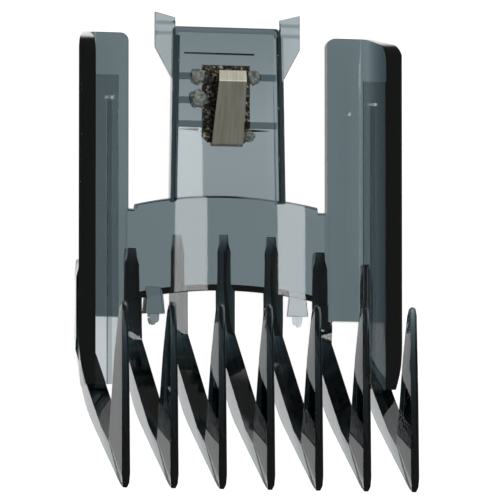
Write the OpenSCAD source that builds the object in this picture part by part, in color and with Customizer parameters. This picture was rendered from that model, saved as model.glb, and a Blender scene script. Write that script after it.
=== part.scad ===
/* [Overall] */
// Length of the whole comb, from the tooth bottoms to the ear tips
comb_len = 75; // [70:0.5:85]
// Width over the outer walls of the two arms
comb_w = 51.2; // [49:0.2:56]
// Thickness of the moulded walls
wall = 1.6; // [1.4:0.1:2]

/* [Arms] */
// Distance between the inner edges of the two arm panels
arm_gap = 31.6; // [30:0.2:33]
// Height of the top of the arm panels above the tooth bottoms
arm_top = 71.6; // [70:0.2:74]
// Height of the lower end of the side walls
wall_foot = 16.8; // [15:0.2:20]
// Height of the lower end of the arm panels
panel_foot = 27.8; // [26:0.2:30]
// How far the front edge of a side wall stands in front of its panel
wall_rise = 8; // [7:0.5:10]
// Thickness of a side wall at its front edge
wall_edge = 2.6; // [2:0.1:3]

/* [Guide rails] */
// Distance between the inner edges of the two guide rails
rail_gap = 38.8; // [37:0.2:40]
// Height of the top of the guide rails
rail_top = 64.2; // [60:0.2:66]
// Thickness of a guide rail, front to back
rail_t = 0.7; // [0.6:0.1:1.6]

/* [Band] */
// Height of the top edge of the band at the middle
band_top = 47; // [45:0.5:50]
// Height of the bottom edge of the band at the middle
band_foot = 32.3; // [31:0.1:34]
// Radius of the hollow inner face of the band
band_r = 80; // [70:5:120]
// Radius of the arched top and bottom edges of the band
arch_r = 62; // [55:1:80]

/* [Teeth] */
// Spacing of the seven teeth
pitch = 7.53; // [7.2:0.01:7.6]
// Distance of the tooth fronts from the arm panels
tooth_front = 25.3; // [24:0.1:27]
// Height of the free tips of the teeth
tip_h = 28.2; // [27:0.1:29]
// Thickness of a tooth along its inner edge
tooth_t = 3.1; // [2.6:0.1:3.2]
// Thickness of a tooth along its outer edge and its front
tooth_thin = 1.3; // [1:0.1:1.6]
// How far the ribs on the back stand behind the arm panels
rib_back = 5.3; // [5:0.1:6]

/* [Tongue] */
// Width of the tongue at its top
tongue_w = 17.5; // [17:0.1:18]
// Height of the top of the tongue
tongue_top = 73; // [71:0.1:74]
// Thickness of the tongue plate
tongue_t = 1.2; // [1.1:0.1:1.5]
// Width over the two ears
ear_span = 23; // [22:0.1:24]
// Thickness of an ear
ear_t = 0.8; // [0.6:0.1:1]

/* [Spring] */
// Width of the spring's base plate
base_w = 7.6; // [7:0.1:8]
// Thickness of the spring strip
strip_t = 0.3; // [0.2:0.05:0.4]
// Angle between the leaf and the base plate
leaf_angle = 20; // [15:1:24]

/* [Hidden] */
$fn = 48;
TEETH = [for (i = [1:7]) str("tooth_", i)];
// Bars that retain the spring: name, side, distance of the inner end from the middle, height
BARS = [["top_left_rib", -1, 5.4, 65.3], ["top_right_rib", 1, 5, 65.3],
    ["middle_left_rib", -1, 5.4, 61.6], ["low_left_rib", -1, 3, 57.9],
    ["low_right_rib", 1, 2.5, 57.9]];
// Melted stakes: name, side, distance from the middle, height, radius, the bar that each joins
STAKES = [["top_left_stake", -1, 4.6, 65.2, 1.2, BARS[0]],
    ["side_left_stake", -1, 4.4, 61.8, 1.4, BARS[2]],
    ["top_right_stake", 1, 4.4, 65.3, 1.1, BARS[1]],
    ["low_right_stake", 1, 3.6, 56.2, 0.9, BARS[4]]];

smoke = [0.36, 0.42, 0.45, 0.75];
steel = [0.52, 0.51, 0.46];
half_w = comb_w / 2;
half_gap = arm_gap / 2;
sag = band_r - sqrt(band_r * band_r - half_gap * half_gap);
band_z = -sag;

// The teeth, the walls and the tongue are drawn from the tooth bottoms upwards (Y) and from the
// arm panels forwards (Z). The finished comb lies on the ribs on its back.
module place() {
    translate([0, -comb_len / 2, rib_back]) children();
}

// Right-hand copy or left-hand copy of a shape drawn on the right
module side(s) {
    mirror([s < 0 ? 1 : 0, 0, 0]) children();
}

// Upright prism with its outline in X and Y
module slab(z0, z1) {
    translate([0, 0, z0]) linear_extrude(z1 - z0) children();
}

// Prism along Y with its outline in X and Z
module bar(y0, y1) {
    translate([0, y1, 0]) rotate([90, 0, 0]) linear_extrude(y1 - y0) children();
}

// Prism along X, centred, with its outline in Z and Y
module plate(t) {
    translate([t / 2, 0, 0]) rotate([0, -90, 0]) linear_extrude(t) children();
}

// Points of an arc from angle a to angle b
function arc(c, r, a, b, n = 6) =
    [for (k = [0:n]) c + r * [cos(a + (b - a) * k / n), sin(a + (b - a) * k / n)]];

// ---- Arms ----
// The corner between a side wall and its panel starts here
wall_in_x = half_w - 4;
corner_r = 2;
inner_corner_r = 1;
// How far the inner face of a side wall leans outwards from its root to its front edge
wall_lean = 1;

module arm_section() {
    inner_x = half_w - wall_edge;
    polygon(concat(
        [[half_gap, -wall]],
        arc([wall_in_x - 0.5, corner_r - wall], corner_r, -90, -15),
        [[half_w, wall_rise - 0.3], [half_w - 0.3, wall_rise], [inner_x, wall_rise]],
        arc([inner_x - wall_lean - inner_corner_r, inner_corner_r], inner_corner_r, 0, -90),
        [[half_gap, 0]]
    ));
}

// Outline of the arm seen from the side: the front top corner is rounded off
module arm_side() {
    corner = 3.4;
    top = arm_top - 0.26 * (wall_rise - corner);
    polygon(concat(
        [[-5, wall_foot], [wall_rise + 1, wall_foot], [wall_rise + 1, top - corner]],
        [[wall_rise, top - corner]],
        arc([wall_rise - corner, top - corner], corner, 0, 75),
        [[0, arm_top], [-5, arm_top]]
    ));
}

// Outline of the arm seen from the front: rounded inner corner, wall drawn in at the foot
module arm_front() {
    r = 1.3;
    foot_r = 24;
    polygon(concat(
        [[half_gap, panel_foot], [half_gap, arm_top - r]],
        arc([half_gap + r, arm_top - r], r, 180, 90, 5),
        [[half_w + 1, arm_top], [half_w + 1, wall_foot + 7.2]],
        arc([half_w - foot_r, wall_foot + 7.2], foot_r, 0, -17.5),
        [[wall_in_x, wall_foot], [wall_in_x, panel_foot]]
    ));
}

module arm() {
    intersection() {
        bar(wall_foot, arm_top) arm_section();
        translate([half_w - 6, 0, 0]) plate(24) arm_side();
        slab(-5, wall_rise + 1) arm_front();
    }
}

module arm_node(s) {
    color(smoke) place() side(s) arm();
}

// ---- Guide rails: inward flanges along the front edges of the walls ----
// The raised ridge on a rail starts below this height
ridge_top = 60.4;
ridge_w = 0.9;
ridge_h = 0.3;

module rail() {
    inner = rail_gap / 2;
    difference() {
        union() {
            bar(wall_foot, rail_top) translate([inner, wall_rise - rail_t])
                square([half_w - 1 - inner, rail_t]);
            bar(wall_foot, ridge_top) translate([inner + 1, wall_rise - 0.1])
                square([ridge_w, ridge_h + 0.1]);
        }
        translate([inner + 0.6, ridge_top, wall_rise - 0.4]) cube([ridge_w + 0.8, 0.6, 1]);
        bar(wall_foot - 1, arm_top) arm_section();
    }
}

module rail_node(s) {
    color(smoke) place() side(s) rail();
}

// ---- Band: a hollow-faced, arched strip joining the arms ----
module band_outline() {
    c_top = [0, band_top - arch_r];
    c_foot = [0, band_foot - arch_r];
    a = asin(half_gap / arch_r);
    corner_x = half_gap - 1.8;
    corner_y = band_top - arch_r + sqrt(arch_r * arch_r - corner_x * corner_x);
    at = asin(corner_x / arch_r);
    polygon(concat(
        arc(c_foot, arch_r, 90 + a, 90 - a, 16),
        [[half_gap, corner_y - 0.8], [corner_x + 0.4, corner_y - 0.8]],
        arc(c_top, arch_r, 90 - at, 90 + at, 16),
        [[-corner_x - 0.4, corner_y - 0.8], [-half_gap, corner_y - 0.8]]
    ));
}

// Cylinder along Y whose surface is the inner (grow = 0) or the back face of the band
module band_bore(grow) {
    translate([0, 0, band_z + band_r]) rotate([-90, 0, 0])
        cylinder(r = band_r + grow, h = comb_len, $fn = 200);
}

module band() {
    intersection() {
        slab(-5, 1) band_outline();
        difference() {
            band_bore(wall);
            band_bore(0);
        }
    }
}

module rear_band() {
    color(smoke) place() band();
}

// ---- Teeth ----
// Height of the bend where a tooth's inner edge leaves the back and slants forwards
kink_h = 25.8;
// Points of the inner edge in Z and Y: where the tooth starts to narrow, and the bottom of the V
narrowing = [15.7, 9.8];
vee = [19.2, 7.4];
heel_r = 26;
heel_top = 33.3;
// Angle of the sloping foot, and of the heel arc that ends in it
slope = 32.1;
heel_turn = 90 - slope;
foot_start = [heel_r * (1 - cos(heel_turn)) - rib_back, heel_top - heel_r * sin(heel_turn)];
// Heights of the tops of the ribs on the back
rib_tops = [36.7, 38.5, 40.8, 41, 40.8, 38.5, 36.7];
// Half thicknesses along the inner edge, at the bottom of the V and along the outer edge
t_in = tooth_t / 2;
t_vee = 0.8 * t_in;
t_out = tooth_thin / 2;

function tooth_x(i) = (i - 4) * pitch;

// Depth of the band's inner face at a tooth; the outermost teeth stand at the arm panels
function tooth_z(i) = min(0, band_z + pow(tooth_x(i), 2) / (2 * band_r));

// Height of the bend in a tooth's inner edge, lower on the outer teeth
function tooth_kink(i) = kink_h - 0.0065 * pow(tooth_x(i), 2);

function heel(a) = [heel_r * (1 - cos(a)) - rib_back, heel_top - heel_r * sin(a)];
function mix(p, q, f) = p + (q - p) * f;

// Sections of a tooth from the top of its rib, round the heel and the toe, to its free tip. Each
// is a trapezoid: a point on the outer edge and one on the inner edge, both in Z and Y, with the
// half thickness at each.
function tooth_sections(z_in, kink, top) =
    let (k = [z_in, kink], f = tooth_front, h = tip_h)
    concat(
        [
            [[-rib_back + 1.8, top], [z_in, top], 0.5, 0.6],
            [[-rib_back, top - 2.6], [z_in, top - 2.6], t_out, 0.65 * t_in],
            [[-rib_back, heel_top + 0.3], [z_in, heel_top + 0.3], t_out, t_in],
            [heel(0), [z_in, kink + 2.4], t_out, t_in],
            [heel(12), k, t_out, t_in]
        ],
        [for (n = [1:4]) [heel(12 + (heel_turn - 12) * n / 4), mix(k, narrowing, 0.17 * n),
            1.2 * t_out, t_in]],
        [
            [mix(foot_start, [f, 0], 0.38), narrowing, 1.2 * t_out, 0.95 * t_in],
            [mix(foot_start, [f, 0], 0.57), vee, 1.15 * t_out, t_vee],
            [mix(foot_start, [f, 0], 0.78), vee + [0.01, 0.05], 1.1 * t_out, t_vee],
            [[f - 2.4, 1.3], vee + [0.03, 0.1], t_out, t_vee],
            [[f - 1.2, 0.5], vee + [0.05, 0.15], 0.85 * t_out, t_vee],
            [[f - 0.6, 0], vee + [0.06, 0.2], 0.5 * t_out, t_vee],
            [[f - 0.1, 0.7], vee + [0.08, 0.3], 0.85 * t_out, t_vee],
            [[f, 2.1], vee + [0.1, 0.4], t_out, t_vee],
            [[f - 0.2, 14], [f - 4.5, 16.1], 0.92 * t_out, 0.82 * t_vee],
            [[f - 0.4, 19.5], [f - 3.9, 20.5], 0.86 * t_out, 0.69 * t_vee],
            [[f - 0.6, 24], [f - 2.95, 25.2], 0.8 * t_out, 0.5 * t_vee],
            [[f - 0.7, h - 1.3], [f - 2.5, h - 1.2], 0.5, 0.53],
            [[f - 0.9, h - 0.3], [f - 2.1, h - 0.3], 0.4, 0.4],
            [[f - 1.3, h], [f - 1.7, h], 0.22, 0.22]
        ]
    );

// Closed body through a list of such sections; its two flanks are divided alike
module loft(sections) {
    n = len(sections);
    points = [for (s = sections) each [
        [-s[2], s[0][1], s[0][0]], [s[2], s[0][1], s[0][0]],
        [s[3], s[1][1], s[1][0]], [-s[3], s[1][1], s[1][0]]
    ]];
    ring = [[4, 1, 0], [4, 5, 1], [5, 2, 1], [5, 6, 2], [6, 3, 2], [6, 7, 3], [4, 0, 3], [7, 4, 3]];
    polyhedron(points, concat(
        [[0, 1, 2, 3], [for (c = [3:-1:0]) 4 * (n - 1) + c]],
        [for (k = [0:n - 2], face = ring) [for (v = face) 4 * k + v]]
    ));
}

module whole_tooth(i) {
    translate([tooth_x(i), 0, 0])
        loft(tooth_sections(tooth_z(i), tooth_kink(i), rib_tops[i - 1]));
}

// The space that the band, and the room in front of it, takes from the ribs
module band_room() {
    difference() {
        band_bore(wall);
        translate([0, band_foot - arch_r, -10]) cylinder(r = arch_r, h = 60, $fn = 200);
    }
}

// The space that an arm, and the room in front of its panel, takes from the two outer teeth
module arm_room() {
    reach = comb_w;
    slab(-wall, wall_rise) polygon([[half_gap, panel_foot], [wall_in_x, panel_foot],
        [wall_in_x, wall_foot], [reach, wall_foot], [reach, arm_top], [half_gap, arm_top]]);
}

module tooth(i) {
    n = 4 + abs(i - 4);
    color(smoke) place() side(i - 4) difference() {
        whole_tooth(n);
        if (n < 7) band_room();
        if (n > 5) arm_room();
    }
}

// ---- Tongue ----
// Inner face of the tongue, level with the middle of the band's inner face
tongue_z = -1.6;
// How much wider each side of the tongue is at its root
tongue_spread = 0.45;
// Thickness of the flanges along its sides, and how far they rise from its inner face
flange_t = 1.1;
flange_rise = 1.7;
// Height and rise of the lip across its top
lip_h = 0.9;
lip_rise = 0.5;

module tongue_outline(inset, top, r) {
    half = tongue_w / 2 - inset;
    polygon(concat(
        [[half + tongue_spread, band_top - 4]],
        arc([half - r, top - r], r, 0, 90, 5),
        arc([r - half, top - r], r, 90, 180, 5),
        [[-half - tongue_spread, band_top - 4]]
    ));
}

module tongue_body() {
    lip_y = tongue_top - lip_h;
    difference() {
        slab(tongue_z - tongue_t, tongue_z + flange_rise) tongue_outline(0, tongue_top, 0.7);
        slab(tongue_z, tongue_z + 5) tongue_outline(flange_t, lip_y, 0.3);
        // the lip across the top is lower than the flanges
        translate([-tongue_w, lip_y - 0.6, tongue_z + lip_rise]) cube([2 * tongue_w, 5, 5]);
        slab(-10, 10) band_outline();
    }
}

module tongue() {
    color(smoke) place() tongue_body();
}

// ---- Ears: thin wings beside the top of the tongue, with two snap ridges ----
ear_foot = 64.3;
ear_knee = 69.6;
ridge_ys = [71.7, 73.3];
ridge_d = 0.9;

module ear_outline() {
    inner = tongue_w / 2;
    polygon([[inner - 0.5, ear_foot - 0.6], [ear_span / 2, ear_knee], [ear_span / 2, comb_len],
             [inner - 0.4, comb_len - 0.8], [inner - 0.4, tongue_top - 1]]);
}

module ear() {
    z = tongue_z + 0.6;
    difference() {
        union() {
            slab(z, z + ear_t) ear_outline();
            for (y = ridge_ys) intersection() {
                slab(z, z + 2) ear_outline();
                translate([0, y, z + ear_t - 0.1]) rotate([0, 90, 0])
                    cylinder(d = ridge_d, h = ear_span);
            }
        }
        tongue_body();
        translate([-tongue_w / 2 + flange_t, 0, -10]) cube([tongue_w - 2 * flange_t, tongue_top, 20]);
    }
}

module ear_node(s) {
    color(smoke) place() side(s) ear();
}

// ---- Spring: a strip folded back on itself, base plate under a sprung leaf ----
base_top = 67.1;
base_corner = 0.9;
fold_y = 55.1;
fold_r = 0.6;
// Width of the leaf at its fold and at its crest
leaf_w = [5, 4.1];
leaf_len = 9.8;
lip_len = 1.5;

module base_outline() {
    half = base_w / 2;
    cut = base_corner;
    polygon([[-half, base_top], [half, base_top], [half, fold_y + cut], [half - cut, fold_y],
             [cut - half, fold_y], [-half, fold_y + cut]]);
}

module base_plate() {
    slab(tongue_z, tongue_z + strip_t) base_outline();
}

module spring_base() {
    color(steel) place() base_plate();
}

// Radius of the crest, and the angle through which the strip turns over it
crest_r = 0.7;
crest = 26;

// Side outline of the leaf in Z and Y: fold, straight leaf, rounded crest and flat lip
module leaf_outline() {
    a = leaf_angle;
    mid_r = fold_r - strip_t;
    along = [sin(a), cos(a)];
    up = [cos(a), -sin(a)];
    start = [tongue_z + fold_r, fold_y];
    crest_c = start + leaf_len * along + (fold_r - crest_r) * up;
    b = crest - a;
    lip_along = [-sin(b), cos(b)];
    lip_up = [cos(b), sin(b)];
    polygon(concat(
        arc(start, fold_r, 180, 360 - a, 12),
        arc(crest_c, crest_r, -a, b, 8),
        [crest_c + crest_r * lip_up + lip_len * lip_along,
         crest_c + (crest_r - strip_t) * lip_up + lip_len * lip_along],
        arc(crest_c, crest_r - strip_t, b, -a, 8),
        arc(start, mid_r, 360 - a, 180, 12)
    ));
}

module leaf() {
    y0 = fold_y - fold_r;
    y1 = y0 + leaf_len + 4;
    intersection() {
        plate(base_w) leaf_outline();
        slab(-5, 10) polygon([[-leaf_w[0] / 2, y0], [leaf_w[0] / 2, y0],
                              [leaf_w[1] / 2, y1], [-leaf_w[1] / 2, y1]]);
    }
}

module spring_leaf() {
    color(steel) place() leaf();
}

// ---- Ribs and melted stakes that hold the base plate ----
bar_rise = 0.9;
bar_h = 1;

module bar_body(b) {
    reach = b[2];
    difference() {
        translate([reach, b[3] - bar_h / 2, tongue_z])
            cube([tongue_w / 2 - reach, bar_h, bar_rise]);
        tongue_body();
        base_plate();
    }
}

module retaining_bar(b) {
    color(smoke) place() side(b[1]) bar_body(b);
}

module stake(s) {
    color(smoke) place() side(s[1]) difference() {
        translate([s[2], s[3], tongue_z]) cylinder(r1 = s[4], r2 = 0.8 * s[4], h = bar_rise);
        base_plate();
        bar_body(s[5]);
    }
}

// ---- Gate tabs under the band, each with a snapped-off stub ----
tab_foot = 28.5;

module gate_tab(s) {
    x = 1.5 * pitch;
    z = band_z + 0.3;
    color(smoke) place() side(s) difference() {
        union() {
            slab(z - 0.9, z + 0.3) polygon([[x - 1.65, tab_foot], [x + 1.65, tab_foot],
                                            [x + 1.2, band_foot], [x - 1.2, band_foot]]);
            slab(z - 0.7, z + 0.1) polygon([[x - 0.7, tab_foot + 0.1], [x - 0.6, tab_foot - 1.3],
                [x - 0.1, tab_foot - 1.7], [x + 0.5, tab_foot - 1.4], [x + 0.7, tab_foot + 0.1]]);
        }
        slab(-6, 6) band_outline();
    }
}

rear_band();
arm_node(-1);  // left_arm
arm_node(1);  // right_arm
rail_node(-1);  // left_guide_rail
rail_node(1);  // right_guide_rail
tongue();
ear_node(-1);  // left_ear
ear_node(1);  // right_ear
gate_tab(-1);  // left_gate_tab
gate_tab(1);  // right_gate_tab
spring_base();
spring_leaf();
for (b = BARS) retaining_bar(b);
for (s = STAKES) stake(s);
for (i = [1:7]) tooth(i);
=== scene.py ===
"""The looks of a clear smoke-grey guide comb with a steel spring leaf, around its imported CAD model."""

from math import asin, cos, pi, radians, sin, sqrt
import bmesh
import bpy
from mathutils import Matrix, Vector, noise


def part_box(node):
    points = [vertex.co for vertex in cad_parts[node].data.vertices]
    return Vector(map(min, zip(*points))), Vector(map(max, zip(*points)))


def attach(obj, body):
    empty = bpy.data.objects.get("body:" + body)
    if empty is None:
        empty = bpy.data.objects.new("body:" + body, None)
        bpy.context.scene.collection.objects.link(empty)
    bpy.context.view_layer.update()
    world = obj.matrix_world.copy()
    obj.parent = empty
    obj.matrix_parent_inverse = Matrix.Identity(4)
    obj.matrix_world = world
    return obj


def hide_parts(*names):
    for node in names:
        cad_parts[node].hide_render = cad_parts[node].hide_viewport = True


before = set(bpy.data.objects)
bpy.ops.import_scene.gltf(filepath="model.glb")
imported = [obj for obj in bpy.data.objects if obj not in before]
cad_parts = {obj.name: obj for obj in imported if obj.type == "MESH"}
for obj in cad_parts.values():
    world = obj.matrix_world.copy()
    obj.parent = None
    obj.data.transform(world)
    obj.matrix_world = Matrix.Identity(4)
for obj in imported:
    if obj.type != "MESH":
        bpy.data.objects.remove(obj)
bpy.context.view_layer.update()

MM = 0.001

# ---- Sizes in millimetres, in the comb's drawing frame: Y up from the tooth bottoms, Z forwards
# from the inner faces of the arm panels. They repeat the CAD model's driving dimensions, except
# that the rails and the band are a little thinner here, for the plastic's shade. ----
WALL = 1.6
HALF_W = 25.6
HALF_GAP = 15.8
ARM_TOP = 71.6
WALL_FOOT = 16.8
PANEL_FOOT = 27.8
WALL_RISE = 8
WALL_EDGE = 2.6
WALL_IN_X = HALF_W - 4
CORNER_R = 2
RAIL_IN = 19.4
RAIL_TOP = 64.2
RAIL_T = 0.5
RIDGE_TOP = 60.4
BAND_TOP = 47
BAND_FOOT = 32.3
BAND_R = 80
BAND_T = 1.45
ARCH_R = 62
PITCH = 7.53
TOOTH_FRONT = 25.3
TIP_H = 28.2
TOOTH_T = 3.1
TOOTH_THIN = 1.3
RIB_BACK = 5.3
KINK_H = 25.8
NARROWING = (15.7, 9.8)
VEE = (19.2, 7.4)
HEEL_R = 26
HEEL_TOP = 33.3
SLOPE = 32.1
WALL_LEAN = 1
RIB_TOPS = (36.7, 38.5, 40.8, 41, 40.8, 38.5, 36.7)
TONGUE_W = 17.5
TONGUE_TOP = 73
TONGUE_T = 1.2
FLANGE_T = 1.1
TONGUE_Z = -1.6
COMB_LEN = 75
BAND_Z = sqrt(BAND_R**2 - HALF_GAP**2) - BAND_R


# ---- Mesh helpers ----
def arc(cx, cy, r, a, b, n=8):
    """Points of an arc from angle a to angle b, in degrees."""
    turns = [radians(a + (b - a) * k / n) for k in range(n + 1)]
    return [(cx + r * cos(t), cy + r * sin(t)) for t in turns]


def add_object(name, bm):
    bmesh.ops.recalc_face_normals(bm, faces=bm.faces)
    mesh = bpy.data.meshes.new(name)
    bm.to_mesh(mesh)
    bm.free()
    obj = bpy.data.objects.new(name, mesh)
    bpy.context.scene.collection.objects.link(obj)
    return obj


PLANES = {
    "xy": lambda u, v, w: (u, v, w),
    "xz": lambda u, v, w: (u, w, v),
    "zy": lambda u, v, w: (w, v, u),
    "yz": lambda u, v, w: (w, u, v),
}


def prism(outline, plane, lo, hi, far=None):
    """Closed prism: an outline in one plane, drawn from lo to hi along the third axis.

    With far, the outline at hi differs from the one at lo.
    """
    bm = bmesh.new()
    put = PLANES[plane]
    low = [bm.verts.new(put(u, v, lo)) for u, v in outline]
    high = [bm.verts.new(put(u, v, hi)) for u, v in far or outline]
    bm.faces.new(low)
    bm.faces.new(high)
    n = len(outline)
    for i in range(n):
        j = (i + 1) % n
        bm.faces.new((low[i], low[j], high[j], high[i]))
    return add_object("prism", bm)


def baked(obj):
    """Applies an object's modifiers."""
    graph = bpy.context.evaluated_depsgraph_get()
    mesh = bpy.data.meshes.new_from_object(obj.evaluated_get(graph))
    obj.modifiers.clear()
    obj.data = mesh
    return obj


def combine(obj, other, how):
    mod = obj.modifiers.new("combine", "BOOLEAN")
    mod.solver = "MANIFOLD"
    mod.operation = how
    mod.object = other
    baked(obj)
    bpy.data.objects.remove(other)
    return obj


def cut(obj, other):
    return combine(obj, other, "DIFFERENCE")


def join(obj, other):
    return combine(obj, other, "UNION")


def common(obj, other):
    return combine(obj, other, "INTERSECT")


def rounded(obj, width, segments=3, angle=32):
    """Rounds every edge sharper than the given angle."""
    mod = obj.modifiers.new("round", "BEVEL")
    mod.width = width
    mod.segments = segments
    mod.limit_method = "ANGLE"
    mod.angle_limit = radians(angle)
    mod.use_clamp_overlap = True
    mod.miter_outer = "MITER_ARC"
    return baked(obj)


def moved(obj, matrix):
    obj.data.transform(matrix)
    if matrix.determinant() < 0:
        obj.data.flip_normals()
    return obj


def mirrored(obj, side):
    return moved(obj, Matrix.Diagonal((side, 1, 1, 1)))


# ---- Arms ----
def arm_section():
    inner_x = HALF_W - WALL_EDGE
    return (
        [(HALF_GAP, -WALL)]
        + arc(WALL_IN_X - 0.5, CORNER_R - WALL, CORNER_R, -90, -15)
        + [(HALF_W, WALL_RISE - 0.3), (HALF_W - 0.3, WALL_RISE)]
        + [(inner_x, WALL_RISE)]
        + arc(inner_x - WALL_LEAN - 1, 1, 1, 0, -90)
        + [(HALF_GAP, 0)]
    )


def arm_side():
    corner = 3.4
    top = ARM_TOP - 0.26 * (WALL_RISE - corner)
    return (
        [(-5, WALL_FOOT), (WALL_RISE + 1, WALL_FOOT), (WALL_RISE + 1, top - corner)]
        + [(WALL_RISE, top - corner)]
        + arc(WALL_RISE - corner, top - corner, corner, 0, 75)
        + [(0, ARM_TOP), (-5, ARM_TOP)]
    )


def arm_front():
    r = 1.3
    foot_r = 24
    return (
        [(HALF_GAP, PANEL_FOOT), (HALF_GAP, ARM_TOP - r)]
        + arc(HALF_GAP + r, ARM_TOP - r, r, 180, 90)
        + [(HALF_W + 1, ARM_TOP), (HALF_W + 1, WALL_FOOT + 7.2)]
        + arc(HALF_W - foot_r, WALL_FOOT + 7.2, foot_r, 0, -17.5)
        + [(WALL_IN_X, WALL_FOOT), (WALL_IN_X, PANEL_FOOT)]
    )


def arm(side):
    body = prism(arm_section(), "xz", WALL_FOOT, ARM_TOP)
    common(body, prism(arm_side(), "zy", 0, 40))
    common(body, prism(arm_front(), "xy", -5, WALL_RISE + 1))
    return mirrored(rounded(body, 0.22), side)


def rail(side):
    top = WALL_RISE - 0.02
    ledge = prism([(RAIL_IN, top - RAIL_T), (23.4, top - RAIL_T), (23.4, top), (RAIL_IN, top)],
                  "xz", WALL_FOOT + 0.02, RAIL_TOP)
    ridge = [(RAIL_IN + 1, top - 0.4), (RAIL_IN + 1.9, top - 0.4), (RAIL_IN + 1.8, top + 0.3),
             (RAIL_IN + 1.1, top + 0.3)]
    join(ledge, prism(ridge, "xz", WALL_FOOT + 0.1, RIDGE_TOP))
    notch = [(RAIL_IN + 0.6, RIDGE_TOP), (RAIL_IN + 2.3, RIDGE_TOP),
             (RAIL_IN + 2.3, RIDGE_TOP + 0.6), (RAIL_IN + 0.6, RIDGE_TOP + 0.6)]
    cut(ledge, prism(notch, "xy", top - 0.35, top + 1))
    return mirrored(rounded(ledge, 0.09, 2), side)


# ---- Band ----
def arch_y(top, x):
    return top - ARCH_R + sqrt(ARCH_R**2 - x * x)


def hollow_strip(half, r, z_mid, thick, y0, y1, n=36):
    """A strip along Y, hollow towards the front with radius r; thick at y0 and at y1."""
    a = asin(half / r) * 180 / pi
    ends = [arc(0, z_mid + r, r, -90 - a, -90 + a, n)
            + arc(0, z_mid + r, r + t, -90 + a, -90 - a, n) for t in thick]
    return prism(ends[0], "xz", y0, y1, ends[1])


def band():
    """Columns of a bevelled section that follow the hollow and the arch, with a step at each top corner."""
    half = HALF_GAP + 0.4
    corner_x = HALF_GAP - 1.5
    drop = 0.8
    bevel = 1.05
    bm = bmesh.new()
    columns = []
    count = 65
    xs = [-half + 2 * half * k / (count - 1) for k in range(count)]
    xs += [s * (corner_x + d) for s in (-1, 1) for d in (0, 0.12)]
    for x in sorted(xs):
        turn = asin(x / BAND_R)
        low = arch_y(BAND_FOOT, x)
        step = min(max((abs(x) - corner_x) / 0.12, 0), 1)
        high = arch_y(BAND_TOP, min(abs(x), corner_x)) - drop * step
        section = [(0, low + 0.12), (0.12, low), (BAND_T - bevel, low), (BAND_T, low + bevel),
                   (BAND_T, high - 0.3), (BAND_T - 0.3, high), (0.2, high), (0, high - 0.2)]
        ring = []
        for depth, y in section:
            r = BAND_R + depth
            ring.append(bm.verts.new((r * sin(turn), y, BAND_Z + BAND_R - r * cos(turn))))
        columns.append(ring)
    n = len(columns[0])
    for a, b in zip(columns, columns[1:]):
        for c in range(n):
            bm.faces.new((a[c], a[(c + 1) % n], b[(c + 1) % n], b[c]))
    bm.faces.new(columns[0])
    bm.faces.new(columns[-1])
    return add_object("band", bm)


# ---- Teeth ----
def tooth_x(i):
    return (i - 4) * PITCH


def loft(sections, tilted=0, slope=0):
    """Closed body through trapezoid sections: an outer and an inner (Z, Y) point, half widths.

    The inner edge of the first few sections is tilted: its depth grows with X by the slope.
    """
    bm = bmesh.new()
    rings = []
    for k, (outer, inner, w_out, w_in) in enumerate(sections):
        tilt = slope * w_in if k < tilted else 0
        corners = ((-w_out, outer, 0), (w_out, outer, 0), (w_in, inner, tilt), (-w_in, inner, -tilt))
        rings.append([bm.verts.new((x, p[1], p[0] + dz)) for x, p, dz in corners])
    for a, b in zip(rings, rings[1:]):
        for c, d in ((0, 1), (1, 2), (2, 3)):
            bm.faces.new((a[c], a[d], b[c]))
            bm.faces.new((a[d], b[d], b[c]))
        bm.faces.new((a[3], a[0], b[0]))
        bm.faces.new((a[3], b[0], b[3]))
    bm.faces.new(rings[0])
    bm.faces.new(rings[-1])
    return add_object("loft", bm)


def mix(p, q, f):
    return tuple(a + (b - a) * f for a, b in zip(p, q))


def heel(angle):
    t = radians(angle)
    return (HEEL_R * (1 - cos(t)) - RIB_BACK, HEEL_TOP - HEEL_R * sin(t))


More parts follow.
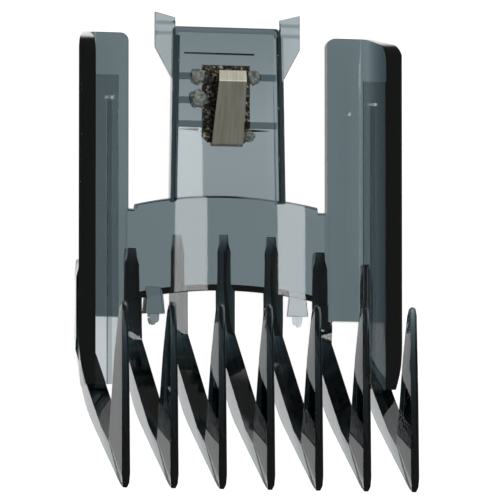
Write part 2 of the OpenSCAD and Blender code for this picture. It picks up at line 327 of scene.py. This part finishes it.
def tooth_sections(z_in, kink, top):
    """Sections from the top of the rib, round the heel and the toe, to the free tip."""
    turn = 90 - SLOPE
    t_out = TOOTH_THIN / 2
    t_in = TOOTH_T / 2
    t_vee = 0.8 * t_in
    t_back = 0.3
    f = TOOTH_FRONT
    h = TIP_H
    foot = heel(turn)
    k = (z_in, kink)
    sections = [
        ((1.8 - RIB_BACK, top), (z_in, top), 0.65, 0.7),
        ((1.3 - RIB_BACK, top - 0.7), (z_in, top - 0.7), 0.6, 0.9),
        ((-RIB_BACK, top - 2.6), (z_in, top - 2.6), 0.4, 0.95 * t_in),
        ((-RIB_BACK, HEEL_TOP + 0.3), (z_in, HEEL_TOP + 0.3), t_back, t_in),
        (heel(0), (z_in, kink + 2.4), 0.35, t_in),
        (heel(12), k, 0.55, t_in),
    ]
    for n in range(1, 9):
        sections.append((heel(12 + (turn - 12) * n / 8), mix(k, NARROWING, 0.085 * n),
                         1.2 * t_out, t_in))
    return sections + [
        (mix(foot, (f, 0), 0.38), NARROWING, 1.2 * t_out, 0.95 * t_in),
        (mix(foot, (f, 0), 0.57), VEE, 1.15 * t_out, t_vee),
        (mix(foot, (f, 0), 0.78), mix(VEE, (f, 30), 0.002), 1.1 * t_out, t_vee),
        ((f - 2.4, 1.3), mix(VEE, (f, 30), 0.005), t_out, t_vee),
        ((f - 1.2, 0.5), mix(VEE, (f, 30), 0.008), 0.85 * t_out, t_vee),
        ((f - 0.6, 0), mix(VEE, (f, 30), 0.011), 0.5 * t_out, t_vee),
        ((f - 0.1, 0.7), mix(VEE, (f, 30), 0.014), 0.85 * t_out, t_vee),
        ((f, 2.1), mix(VEE, (f, 30), 0.018), t_out, t_vee),
        ((f - 0.2, 14), (f - 4.5, 16.1), 0.92 * t_out, 0.82 * t_vee),
        ((f - 0.4, 19.5), (f - 3.9, 20.5), 0.86 * t_out, 0.69 * t_vee),
        ((f - 0.6, 24), (f - 2.95, 25.2), 0.8 * t_out, 0.5 * t_vee),
        ((f - 0.7, h - 1.3), (f - 2.5, h - 1.2), 0.5, 0.53),
        ((f - 0.9, h - 0.3), (f - 2.1, h - 0.3), 0.4, 0.4),
        ((f - 1.3, h), (f - 1.7, h), 0.22, 0.22),
    ]


def tooth(i):
    kink = KINK_H - 0.0065 * tooth_x(i) ** 2
    z_in = min(0, BAND_Z + tooth_x(i) ** 2 / (2 * BAND_R))
    body = loft(tooth_sections(z_in - 0.15, kink, RIB_TOPS[i - 1]), 5, tooth_x(i) / BAND_R)
    rounded(body, 0.16, 3, 40)
    return moved(body, Matrix.Translation((tooth_x(i), 0, 0)))


def trimmed_tooth(i):
    """A tooth without the part of its rib that would stand in front of the band or an arm."""
    body = tooth(i)
    if abs(i - 4) < 3:
        room = prism(arc(0, BAND_Z + BAND_R, BAND_R + WALL / 2, -110, -70, 40) + [(0, BAND_R)],
                     "xz", 0, 60)
        below = prism(arc(0, BAND_FOOT + 0.8 - ARCH_R, ARCH_R, 120, 60, 40) + [(60, -60), (-60, -60)],
                      "xy", -20, 60)
        cut(room, below)
        cut(body, room)
    else:
        side = 1 if i > 4 else -1
        room = prism([(10, -0.8), (22.4, -0.8), (26, 12), (10, 12)], "xz", PANEL_FOOT + 0.6, 60)
        cut(body, mirrored(room, side))
    return body


# ---- Tongue ----
def tongue_outline(inset, top, r):
    half = TONGUE_W / 2 - inset
    spread = 0.45
    return (
        [(half + spread, BAND_TOP - 1.2)]
        + arc(half - r, top - r, r, 0, 90, 6)
        + arc(r - half, top - r, r, 90, 180, 6)
        + [(-half - spread, BAND_TOP - 1.2)]
    )


def tongue():
    """A plate, hollow below the low bars, with flanges drafted towards the back and a low lip."""
    lip_y = TONGUE_TOP - 0.9
    draft = 0.38
    plate_top = TONGUE_TOP - 0.5
    hollow_top = 57.8
    body = prism(tongue_outline(draft, TONGUE_TOP - 0.05, 0.7), "xy", TONGUE_Z - TONGUE_T,
                 TONGUE_Z + 1.7, tongue_outline(0, TONGUE_TOP, 0.7))
    cut(body, prism(tongue_outline(FLANGE_T, lip_y, 0.3), "xy", TONGUE_Z - 5, TONGUE_Z + 5))
    over_lip = [(-20, lip_y - 0.6), (20, lip_y - 0.6), (20, 90), (-20, 90)]
    cut(body, prism(over_lip, "xy", TONGUE_Z + 0.5, 20))
    rounded(body, 0.18)
    plate = hollow_strip(10, 100, TONGUE_Z, (1.1, 1.02), BAND_TOP - 3, hollow_top)
    join(plate, hollow_strip(10, 900, TONGUE_Z, (1.02, 1.35), hollow_top - 0.1, plate_top))
    common(plate, prism(tongue_outline(0.7, plate_top, 0.3), "xy", -20, 20))
    # grooves in its back: one near the top and one below each low bar
    for x0, x1, y, depth in ((-6.4, 4.8, 68.98, 1.12), (-7.5, -4.2, 57.15, 0.72), (2.2, 7.1, 57.15, 0.75)):
        groove = [(TONGUE_Z - 2, y - 2 + depth), (TONGUE_Z - depth, y), (TONGUE_Z - 2, y + 2 - depth)]
        cut(plate, prism(groove, "zy", x0, x1))
    return join(body, plate)


def ear(side):
    inner = TONGUE_W / 2
    outline = [(inner - 0.5, 63.7), (11.5, 69.6), (11.5, COMB_LEN), (inner - 0.4, COMB_LEN - 0.8),
               (inner - 0.4, TONGUE_TOP - 1)]
    z = TONGUE_Z + 0.6
    body = prism(outline, "xy", z, z + 0.8)
    for y in (71.7, 73.3):
        join(body, prism(arc(y, z + 0.7, 0.5, 0, 180, 2), "yz", 8.4, 11.4))
    return mirrored(rounded(body, 0.1, 2), side)


def hold_rib(side, reach, y):
    bar = prism([(reach, y - 0.5), (TONGUE_W / 2 - 0.3, y - 0.5), (TONGUE_W / 2 - 0.3, y + 0.5),
                 (reach, y + 0.5)], "xy", TONGUE_Z - 0.4, TONGUE_Z + 0.9)
    return mirrored(rounded(bar, 0.12, 2), side)


def gate_tab(side):
    """A tab that follows the band's curve, with a stub whose end is snapped off."""
    x = 1.5 * PITCH
    foot = 28.5
    z = BAND_Z + x * x / (2 * BAND_R)
    depth = 1.75 if side < 0 else 1.4
    tab = prism([(-1.65, foot), (1.65, foot), (1.2, BAND_FOOT + 0.4), (-1.2, BAND_FOOT + 0.4)],
                "xy", -depth, -0.1)
    rounded(tab, 0.1, 2)
    stub = prism([(-0.75, foot + 0.4), (-0.7, foot - 0.9), (-0.45, foot - 1.35), (-0.2, foot - 1.2),
                  (0, foot - 1.7), (0.3, foot - 1.45), (0.45, foot - 1.6), (0.7, foot - 1),
                  (0.75, foot + 0.4)], "xy", 0.15 - depth, -0.3)
    join(tab, stub)
    turn = Matrix.Rotation(-asin(x / BAND_R), 4, "Y")
    return mirrored(moved(tab, Matrix.Translation((x, 0, z)) @ turn), side)


def stake(side, x, y, r, seed):
    bm = bmesh.new()
    bmesh.ops.create_icosphere(bm, subdivisions=4, radius=1)
    for v in bm.verts:
        lump = 1 + 0.28 * noise.noise(v.co * 1.7 + Vector((seed, 0, 0)))
        lump += 0.12 * noise.noise(v.co * 5 + Vector((0, seed, 0)))
        v.co = Vector((v.co.x * r * lump, v.co.y * r * lump, v.co.z * 0.75 * lump))
    blob = add_object("stake", bm)
    return moved(blob, Matrix.Translation((side * x, y, TONGUE_Z + 0.35)))


# ---- Into the frame ----
back_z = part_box("left_arm")[0][2] + WALL * MM
foot_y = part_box("right_ear")[1][1] - COMB_LEN * MM
TO_FRAME = Matrix.Translation((0, foot_y, back_z)) @ Matrix.Scale(MM, 4)


def moulding():
    body = band()
    parts = [arm(-1), arm(1), rail(-1), rail(1), tongue(), ear(-1), ear(1)]
    parts += [hold_rib(-1, 5.4, 65.3), hold_rib(1, 5, 65.3), hold_rib(-1, 5.4, 61.6)]
    parts += [hold_rib(-1, 3, 57.9), hold_rib(1, 2.5, 57.9)]
    parts += [gate_tab(-1), gate_tab(1)]
    parts += [trimmed_tooth(i) for i in range(1, 8)]
    for part in parts:
        join(body, part)
    body.name = "comb_moulding"
    return moved(body, TO_FRAME)


def soften(obj, angle=35):
    """Smooth shading, with edges sharper than the angle left sharp."""
    bm = bmesh.new()
    bm.from_mesh(obj.data)
    for face in bm.faces:
        face.smooth = True
    for edge in bm.edges:
        edge.smooth = len(edge.link_faces) == 2 and edge.calc_face_angle() < radians(angle)
    bm.to_mesh(obj.data)
    bm.free()
    mod = obj.modifiers.new("normals", "WEIGHTED_NORMAL")
    mod.keep_sharp = True
    return obj


def melted_stakes():
    blobs = [stake(-1, 4.6, 65.2, 1.2, 1), stake(-1, 4.4, 61.8, 1.4, 2)]
    blobs += [stake(1, 4.4, 65.3, 1.1, 3), stake(1, 3.6, 56.2, 0.9, 4)]
    body = blobs[0]
    for blob in blobs[1:]:
        join(body, blob)
    body.name = "melted_stakes"
    return moved(body, TO_FRAME)


comb = soften(moulding())
stakes = soften(melted_stakes(), 60)
steel_nodes = ("spring_base", "spring_leaf")
stake_nodes = [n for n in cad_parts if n.endswith("_stake")]
for piece in (comb, stakes):
    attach(piece, "comb")
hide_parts(*stake_nodes)
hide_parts(*[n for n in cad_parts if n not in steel_nodes and n not in stake_nodes])


# ---- Materials ----
def new_material(name):
    mat = bpy.data.materials.new(name)
    mat.use_nodes = True
    return mat, mat.node_tree.nodes, mat.node_tree.links


def smoke_plastic():
    mat, nodes, links = new_material("smoke_plastic")
    shader = nodes["Principled BSDF"]
    shader.inputs["Base Color"].default_value = (1, 1, 1, 1)
    shader.inputs["Roughness"].default_value = 0.03
    shader.inputs["IOR"].default_value = 1.5
    shader.inputs["Transmission Weight"].default_value = 1
    volume = nodes.new("ShaderNodeVolumeAbsorption")
    volume.inputs["Color"].default_value = (0.02, 0.15, 0.19, 1)
    volume.inputs["Density"].default_value = 1300
    links.new(volume.outputs[0], nodes["Material Output"].inputs["Volume"])
    return mat


def noise_node(nodes, links, scale, detail=4, stretch=(1, 1, 1)):
    """Noise over the object's own coordinates, in units of 1/scale metres."""
    where = nodes.new("ShaderNodeTexCoord")
    mapping = nodes.new("ShaderNodeMapping")
    mapping.inputs["Scale"].default_value = stretch
    pattern = nodes.new("ShaderNodeTexNoise")
    pattern.inputs["Scale"].default_value = scale
    pattern.inputs["Detail"].default_value = detail
    links.new(where.outputs["Object"], mapping.inputs["Vector"])
    links.new(mapping.outputs[0], pattern.inputs["Vector"])
    return pattern.outputs["Fac"]


def ramp_node(nodes, links, source, stops):
    ramp = nodes.new("ShaderNodeValToRGB")
    elements = ramp.color_ramp.elements
    for element, (position, colour) in zip((elements[0], elements[-1]), (stops[0], stops[-1])):
        element.position = position
        element.color = (*colour, 1)
    for position, colour in stops[1:-1]:
        elements.new(position).color = (*colour, 1)
    links.new(source, ramp.inputs["Fac"])
    return ramp.outputs["Color"]


def melted_plastic():
    """The same plastic where it was melted over the plate: milky, rough and bubbled."""
    mat, nodes, links = new_material("melted_plastic")
    shader = nodes["Principled BSDF"]
    shader.inputs["Roughness"].default_value = 0.35
    shader.inputs["IOR"].default_value = 1.5
    shader.inputs["Transmission Weight"].default_value = 0.2
    milk = noise_node(nodes, links, 1800, 5)
    colour = ramp_node(nodes, links, milk, [(0.35, (0.2, 0.24, 0.22)), (0.65, (0.75, 0.8, 0.74))])
    links.new(colour, shader.inputs["Base Color"])
    bump = nodes.new("ShaderNodeBump")
    bump.inputs["Strength"].default_value = 0.6
    bump.inputs["Distance"].default_value = 0.0002
    links.new(milk, bump.inputs["Height"])
    links.new(bump.outputs[0], shader.inputs["Normal"])
    return mat


def stained_steel():
    """The base plate: dull, stained dark, with lighter flecks."""
    mat, nodes, links = new_material("stained_steel")
    shader = nodes["Principled BSDF"]
    shader.inputs["Metallic"].default_value = 1
    shader.inputs["Roughness"].default_value = 0.55
    stain = noise_node(nodes, links, 2200, 8)
    colour = ramp_node(nodes, links, stain, [(0.38, (0.02, 0.019, 0.014)), (0.55, (0.08, 0.075, 0.058)),
                                             (0.68, (0.45, 0.44, 0.36))])
    links.new(colour, shader.inputs["Base Color"])
    return mat


def brushed_steel():
    """The leaf: drawn strip with fine lines along its length."""
    mat, nodes, links = new_material("brushed_steel")
    shader = nodes["Principled BSDF"]
    shader.inputs["Metallic"].default_value = 1
    shader.inputs["Roughness"].default_value = 0.38
    lines = noise_node(nodes, links, 2500, 3, (1, 0.08, 0.08))
    colour = ramp_node(nodes, links, lines, [(0.3, (0.44, 0.42, 0.34)), (0.7, (0.62, 0.6, 0.5))])
    links.new(colour, shader.inputs["Base Color"])
    return mat


comb.data.materials.clear()
comb.data.materials.append(smoke_plastic())
stakes.data.materials.clear()
stakes.data.materials.append(melted_plastic())
for name, steel in zip(steel_nodes, (stained_steel(), brushed_steel())):
    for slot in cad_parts[name].material_slots:
        slot.material = steel


# ---- Floor, light and camera ----
def floor():
    bm = bmesh.new()
    bmesh.ops.create_grid(bm, x_segments=1, y_segments=1, size=3)
    plane = add_object("floor", bm)
    plane.location.z = -0.0002
    mat, nodes, links = new_material("floor")
    shader = nodes["Principled BSDF"]
    shader.inputs["Base Color"].default_value = (0.5, 0.5, 0.5, 1)
    shader.inputs["Roughness"].default_value = 1
    shader.inputs["Specular IOR Level"].default_value = 0
    shader.inputs["Emission Color"].default_value = (1, 1, 1, 1)
    where = nodes.new("ShaderNodeTexCoord")
    split = nodes.new("ShaderNodeSeparateXYZ")
    links.new(where.outputs["Object"], split.inputs[0])
    light = None
    for axis, lit, dark in (("X", 0.05, 0.075), ("Y", 0.043, 0.057)):
        away = nodes.new("ShaderNodeMath")
        away.operation = "ABSOLUTE"
        links.new(split.outputs[axis], away.inputs[0])
        fade = nodes.new("ShaderNodeMapRange")
        fade.inputs["From Min"].default_value = lit
        fade.inputs["From Max"].default_value = dark
        fade.inputs["To Min"].default_value = 1
        fade.inputs["To Max"].default_value = 0
        links.new(away.outputs[0], fade.inputs["Value"])
        both = nodes.new("ShaderNodeMath")
        both.operation = "MULTIPLY"
        links.new(fade.outputs["Result"], both.inputs[0])
        if light:
            links.new(light, both.inputs[1])
        else:
            both.inputs[1].default_value = 0.95
        light = both.outputs[0]
    links.new(light, shader.inputs["Emission Strength"])
    plane.data.materials.append(mat)


def softbox(azimuth, elevation, distance, size, radiance):
    """An area light that looks at the comb's middle, azimuth measured from straight above."""
    a = radians(azimuth)
    e = radians(elevation)
    towards = Vector((sin(a) * cos(e), sin(e), cos(a) * cos(e)))
    data = bpy.data.lights.new("softbox", "AREA")
    data.shape = "RECTANGLE"
    data.size = size[0]
    data.size_y = size[1]
    data.energy = radiance * pi * size[0] * size[1]
    light = bpy.data.objects.new("softbox", data)
    across = Vector((0, 1, 0)).cross(towards).normalized()
    turn = Matrix((across, towards.cross(across), towards)).transposed().to_4x4()
    light.matrix_world = Matrix.Translation(towards * distance) @ turn
    bpy.context.scene.collection.objects.link(light)


def camera():
    a = radians(15)
    e = radians(-5)
    right = Vector((cos(a), 0, sin(a)))
    back = Vector((-sin(a) * cos(e), sin(e), cos(a) * cos(e)))
    up = back.cross(right)
    distance = 1.5
    aim = Vector((2.37, 38.15, 4.09))
    data = bpy.data.cameras.new("camera")
    data.sensor_width = 36
    data.lens = 704.5
    data.clip_end = 20
    cam = bpy.data.objects.new("camera", data)
    turn = Matrix((right, up, back)).transposed().to_4x4()
    cam.matrix_world = Matrix.Translation(TO_FRAME @ aim + back * distance) @ turn
    bpy.context.scene.collection.objects.link(cam)
    bpy.context.scene.camera = cam


floor()
softbox(22.3, 5, 1.2, (0.149, 0.5), 6)
softbox(0.9, 5, 1.2, (0.119, 0.5), 6.5)
camera()
world = bpy.data.worlds.new("world")
bpy.context.scene.world = world
world.use_nodes = True
world.node_tree.nodes["Background"].inputs["Color"].default_value = (0.95, 0.98, 1, 1)
world.node_tree.nodes["Background"].inputs["Strength"].default_value = 0.22
bpy.context.scene.view_settings.view_transform = "Standard"
